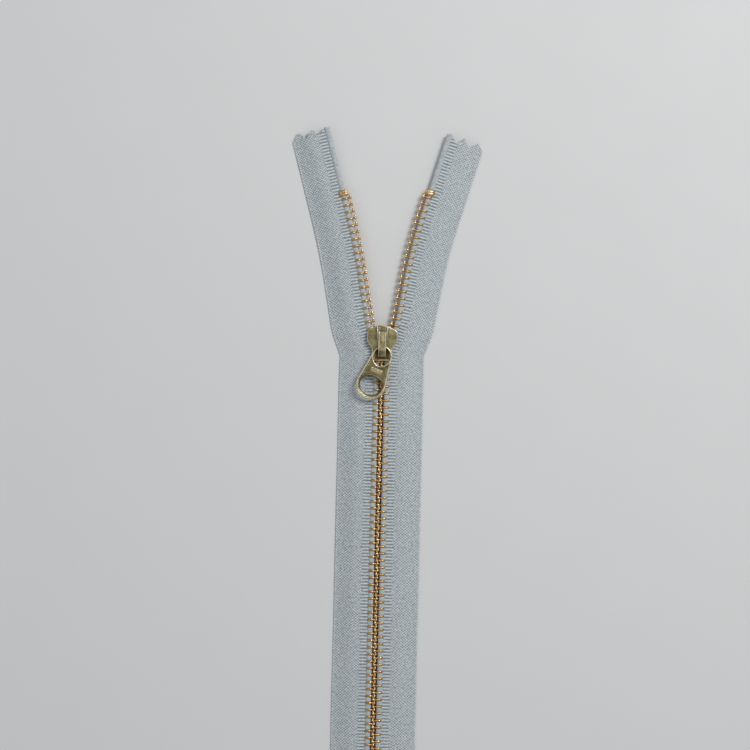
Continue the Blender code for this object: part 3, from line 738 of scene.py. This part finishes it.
def locking_pin():
    bm = bmesh.new()
    outline = [(6.1, 3.62), (6.7, 3.62), (6.7, 4.9), (10.2, 4.9), (10.2, 5.2), (6.1, 5.2)]
    outline = rounded(outline, 0.12, 2)
    rings = [[Vector((x, y + SLIDER_Y, z)) * MM for y, z in outline] for x in (-0.42, 0.42)]
    skin(bm, rings)
    made = piece("locking_pin_detailed", bm, [STOP_BRASS], sharp=30)
    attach(made, "lock")
    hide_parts("locking_pin")


# ---------------------------------------------------------------- pull
EYE_CENTRE = 1.43                      # above the slider's tail
EYE_HOLE, EYE_RIM = (3.0, 3.4), 0.65
PULL_MIDDLE = 5.25                     # height of the pull's middle plane
GRIP_AT, GRIP_RADIUS, GRIP_HOLE = 10.5, 5.3, 3.95
RIDGE_FROM, RIDGE_TO = 2.3, 9.4        # down the pull from the eye's middle
BAR_AT, BAR_HALF_WIDTH, BAR_HALF_HEIGHT = 5.35, 2.15, 0.8


def on_pull(across, down):
    """A place in the pull's plane, down from the eye's middle, in millimetres of the row frame."""
    x = math.cos(PULL_TILT) * across - math.sin(PULL_TILT) * down
    y = -math.sin(PULL_TILT) * across - math.cos(PULL_TILT) * down
    return x, y + EYE_CENTRE + SLIDER_Y


def pull_outline(inset=0.0, sides=120):
    """The outline round the eye and the grip ring, drawn in by an inset."""
    eye = [(math.cos(2 * math.pi * i / sides) * (EYE_HOLE[0] + EYE_RIM - inset),
            math.sin(2 * math.pi * i / sides) * (EYE_HOLE[1] + EYE_RIM - inset)) for i in range(sides)]
    grip = [(math.cos(2 * math.pi * i / sides) * (GRIP_RADIUS - inset),
             math.sin(2 * math.pi * i / sides) * (GRIP_RADIUS - inset) + GRIP_AT) for i in range(sides)]
    points = sorted(set(eye + grip))
    halves = []
    for ordered in (points, points[::-1]):
        hull = []
        for x, y in ordered:
            while len(hull) > 1:
                (ax, ay), (bx, by) = hull[-2], hull[-1]
                if (bx - ax) * (y - ay) - (by - ay) * (x - ax) > 1e-9:
                    break
                hull.pop()
            hull.append((x, y))
        halves.append(hull[:-1])
    return halves[0] + halves[1]


def resampled(path, step):
    """Points an even step apart round a closed path."""
    made, carried = [], 0.0
    for (ax, ay), (bx, by) in zip(path, path[1:] + path[:1]):
        length = math.hypot(bx - ax, by - ay)
        while carried < length:
            t = carried / length
            made.append((ax + (bx - ax) * t, ay + (by - ay) * t))
            carried += step
        carried -= length
    return made


def eye_path(grow=0.0):
    """The eye hole, a little pointed towards the grip."""
    made = []
    for i in range(48):
        turn = 2 * math.pi * i / 48
        c, s = math.cos(turn), math.sin(turn)
        pinch = 1.0 - 0.1 * max(0.0, s) ** 2
        made.append(((EYE_HOLE[0] + grow) * c * pinch, (EYE_HOLE[1] + grow) * s))
    return made


def grip_path(grow=0.0):
    """The grip hole, flatter on the side towards the eye."""
    made = []
    for i in range(56):
        turn = 2 * math.pi * i / 56
        c, s = math.cos(turn), math.sin(turn)
        down = s * (GRIP_HOLE + grow)
        if s < 0:
            down *= 0.72 + 0.05 * grow
            c = math.copysign(abs(c) ** 0.82, c)
        made.append(((GRIP_HOLE + grow) * c, down + GRIP_AT))
    return made


def pull_tab():
    plate = prism([on_pull(*p) for p in resampled(pull_outline(0.3), 0.4)], 5.0, 5.42)
    base = piece("pull_tab_detailed", plate, [ANTIQUE_PULL, RUBBED])
    for label, path in (("eye", eye_path(0.25)), ("grip", grip_path(0.3))):
        hole_bm = prism([on_pull(*p) for p in path], 4.0, 6.6)
        cutter = piece(f"{label}_cutter", hole_bm, [ANTIQUE_PULL])
        cut = base.modifiers.new(label, "BOOLEAN")
        cut.operation, cut.solver, cut.object = "DIFFERENCE", "EXACT", cutter
        bpy.context.view_layer.update()
        evaluated = base.evaluated_get(bpy.context.evaluated_depsgraph_get())
        mesh = bpy.data.meshes.new_from_object(evaluated)
        base.modifiers.clear()
        base.data = mesh
        bpy.data.objects.remove(cutter)
    bm = bmesh.new()
    bm.from_mesh(base.data)
    bpy.data.objects.remove(base)
    # outer rim, eye rim and the rounded grip ring
    rim = [on_pull(*p) for p in resampled(pull_outline(0.36), 0.35)]
    sweep(bm, rim, oval(PULL_MIDDLE, 0.35, 0.49, 12, 0.8), material=1)
    eye = [on_pull(*p) for p in eye_path(0.27)]
    sweep(bm, eye, oval(PULL_MIDDLE, 0.28, 0.5, 12, 0.8), material=1)
    ring = [on_pull(*p) for p in grip_path(0.42)]
    sweep(bm, ring, oval(PULL_MIDDLE, 0.42, 0.46, 12, 0.85), material=0)
    # the outer half of the grip ring is one rounded bar with the rim
    arc = []
    radius = GRIP_RADIUS - 0.66
    for i in range(45):
        turn = math.radians(-8 + 196 * i / 44)
        arc.append(on_pull(radius * math.cos(turn), radius * math.sin(turn) + GRIP_AT))
    sweep(bm, arc, oval(PULL_MIDDLE, 0.64, 0.49, 16, 0.95), closed=False, material=2, taper=3)
    # a second, lower ridge inside each straight side
    for side in (LEFT, RIGHT):
        line = []
        for i in range(24):
            t = i / 23
            down = RIDGE_FROM + (RIDGE_TO - RIDGE_FROM) * t
            edge = (EYE_HOLE[0] + EYE_RIM) + (GRIP_RADIUS - EYE_HOLE[0] - EYE_RIM) * (down / GRIP_AT)
            line.append(on_pull(side * (edge - 0.98), down))
        sweep(bm, line, oval(5.42, 0.17, 0.22, 8), closed=False, material=1, taper=3)
    # a plain raised bar between the eye and the grip hole
    top, bottom = BAR_AT - BAR_HALF_HEIGHT, BAR_AT + BAR_HALF_HEIGHT
    bar = rounded([(-BAR_HALF_WIDTH, top), (BAR_HALF_WIDTH, top), (BAR_HALF_WIDTH, bottom),
                   (-BAR_HALF_WIDTH, bottom)], 0.25)
    prism([on_pull(*p) for p in bar], 5.3, 5.72, bm, bevel=0.12, segments=2, bottom_too=False, face=2)
    made = piece("pull_tab_detailed", bm, [ANTIQUE_PULL, RUBBED, PULL_RING], sharp=45)
    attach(made, "pull")
    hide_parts("pull_tab")


# ---------------------------------------------------------------- setting
def setting():
    bm = bmesh.new()
    bmesh.ops.create_grid(bm, x_segments=1, y_segments=1, size=3.0)
    floor_look = Nodes("pale_floor", (0.8, 0.8, 0.79), 0.7, 0.0)
    floor_look.feed(floor_look.shader.inputs["Roughness"],
                    floor_look.fade(floor_look.noise(floor_look.place(), 40.0), 0.3, 0.7, 0.62, 0.78))
    floor = piece("floor", bm, [floor_look.material])
    floor.location.z = -0.0001
    scene = bpy.context.scene
    scene.view_settings.view_transform = "Standard"
    world = bpy.data.worlds.new("studio")
    world.use_nodes = True
    world.node_tree.nodes["Background"].inputs["Color"].default_value = (0.93, 0.96, 1.0, 1.0)
    world.node_tree.nodes["Background"].inputs["Strength"].default_value = 0.36
    scene.world = world
    for label, energy, size, place in (("key", 4.3, 0.3, (0.42, 0.5, 0.75)),
                                       ("fill", 0.7, 0.8, (-0.7, -0.2, 0.8)),
                                       ("overhead", 3.2, 1.5, (0.0, 0.05, 1.9))):
        light = bpy.data.lights.new(label, "AREA")
        light.energy, light.size = energy, size
        lamp = bpy.data.objects.new(label, light)
        lamp.location = place
        lamp.visible_diffuse = label != "overhead"
        aim = Vector((0, 0.04, 0)) - Vector(place)
        lamp.rotation_euler = aim.to_track_quat("-Z", "Y").to_euler()
        scene.collection.objects.link(lamp)
    lens = bpy.data.cameras.new("camera")
    lens.lens, lens.sensor_width, lens.clip_end = 200.0, 36.0, 20.0
    camera = bpy.data.objects.new("camera", lens)
    camera.location = (-0.00231, 0.04929, 1.4875)
    camera.rotation_euler = (0.0, 0.0, math.radians(1.37))
    scene.collection.objects.link(camera)
    scene.camera = camera


setting()
for side in (LEFT, RIGHT):
    build_side(side)
    top_stop(side, TOP_STOP_AT[side])
bottom_stop()
slider_body()
slider_cap()
locking_pin()
pull_tab()
